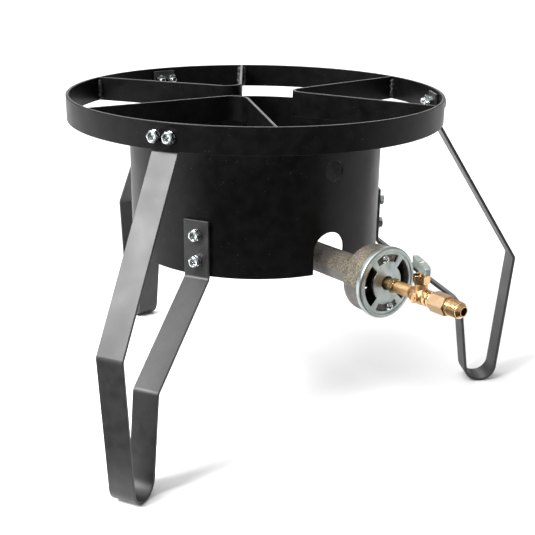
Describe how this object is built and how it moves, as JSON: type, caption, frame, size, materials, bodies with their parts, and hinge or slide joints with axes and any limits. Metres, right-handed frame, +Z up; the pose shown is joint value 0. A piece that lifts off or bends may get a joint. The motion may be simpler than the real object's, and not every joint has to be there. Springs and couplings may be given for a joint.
{
  "type": "outdoor gas burner stand",
  "caption": "Three-legged steel burner stand with a round pot ring and V supports, a windscreen, and a cast-iron gas burner with an air shutter and a brass lever valve.",
  "frame": {"origin": "on the floor, at the centre of the footprint's bounding box, 7.9 mm in front of the ring's axis", "axes": "+Z up from the floor to the pot; -Y towards the gas inlet, so +Y is towards the back leg; +X to the right seen from the inlet"},
  "size_m": [0.544, 0.6282, 0.353],
  "materials": {
    "black_paint": "satin black powder coat with a fine grain",
    "zinc_plate": "bright zinc plate, slightly uneven",
    "shutter_zinc": "dull zinc-plated pressed sheet with faint scratches",
    "lever_zinc": "grey die-cast zinc, matt",
    "cast_iron": "rough brown-grey as-cast iron",
    "brass": "bare brass, satin on the cast body and bright on the turned parts",
    "packing": "white packing ring"
  },
  "bodies": {
    "stand": {"pot_ring": "black_paint", "windscreen": "black_paint", "burner_crossbar": "black_paint", "burner_casting": "cast_iron", "lock_washer_burner": "zinc_plate", "bolt_burner": "zinc_plate", "shutter_screw_1": "zinc_plate", "shutter_screw_2": "zinc_plate", "orifice_holder": "brass", "valve_body": "brass", "flare_adapter": "brass", "stem_packing": "packing", "packing_nut": "brass", "pot_support_1": "black_paint", "leg_1": "black_paint", "lock_washer_ring_1a": "zinc_plate", "bolt_ring_1a": "zinc_plate", "nut_ring_1a": "zinc_plate", "lock_washer_ring_1b": "zinc_plate", "bolt_ring_1b": "zinc_plate", "nut_ring_1b": "zinc_plate", "lock_washer_screen_1a": "zinc_plate", "bolt_screen_1a": "zinc_plate", "nut_screen_1a": "zinc_plate", "lock_washer_screen_1b": "zinc_plate", "bolt_screen_1b": "zinc_plate", "nut_screen_1b": "zinc_plate", "pot_support_2": "black_paint", "leg_2": "black_paint", "lock_washer_ring_2a": "zinc_plate", "bolt_ring_2a": "zinc_plate", "nut_ring_2a": "zinc_plate", "lock_washer_ring_2b": "zinc_plate", "bolt_ring_2b": "zinc_plate", "nut_ring_2b": "zinc_plate", "lock_washer_screen_2a": "zinc_plate", "bolt_screen_2a": "zinc_plate", "nut_screen_2a": "zinc_plate", "lock_washer_screen_2b": "zinc_plate", "bolt_screen_2b": "zinc_plate", "nut_screen_2b": "zinc_plate", "pot_support_3": "black_paint", "leg_3": "black_paint", "lock_washer_ring_3a": "zinc_plate", "bolt_ring_3a": "zinc_plate", "nut_ring_3a": "zinc_plate", "lock_washer_ring_3b": "zinc_plate", "bolt_ring_3b": "zinc_plate", "nut_ring_3b": "zinc_plate", "lock_washer_screen_3a": "zinc_plate", "bolt_screen_3a": "zinc_plate", "nut_screen_3a": "zinc_plate", "lock_washer_screen_3b": "zinc_plate", "bolt_screen_3b": "zinc_plate", "nut_screen_3b": "zinc_plate"},
    "shutter": {"air_shutter": "shutter_zinc"},
    "lever": {"valve_stem": "brass", "valve_lever": "lever_zinc", "lever_pin": "zinc_plate"}
  },
  "joints": [
    {"name": "shutter_turn", "type": "hinge", "parent": "stand", "child": "shutter", "pos_m": [0, -0.21478, 0.19805], "axis": [0, -0.9995, 0.033], "range_deg": [-15, 31]},
    {"name": "lever_turn", "type": "hinge", "parent": "stand", "child": "lever", "pos_m": [0, -0.25995, 0.19954], "axis": [0, 0.033, 0.9995], "range_deg": [-62.5, 27.5]}
  ]
}
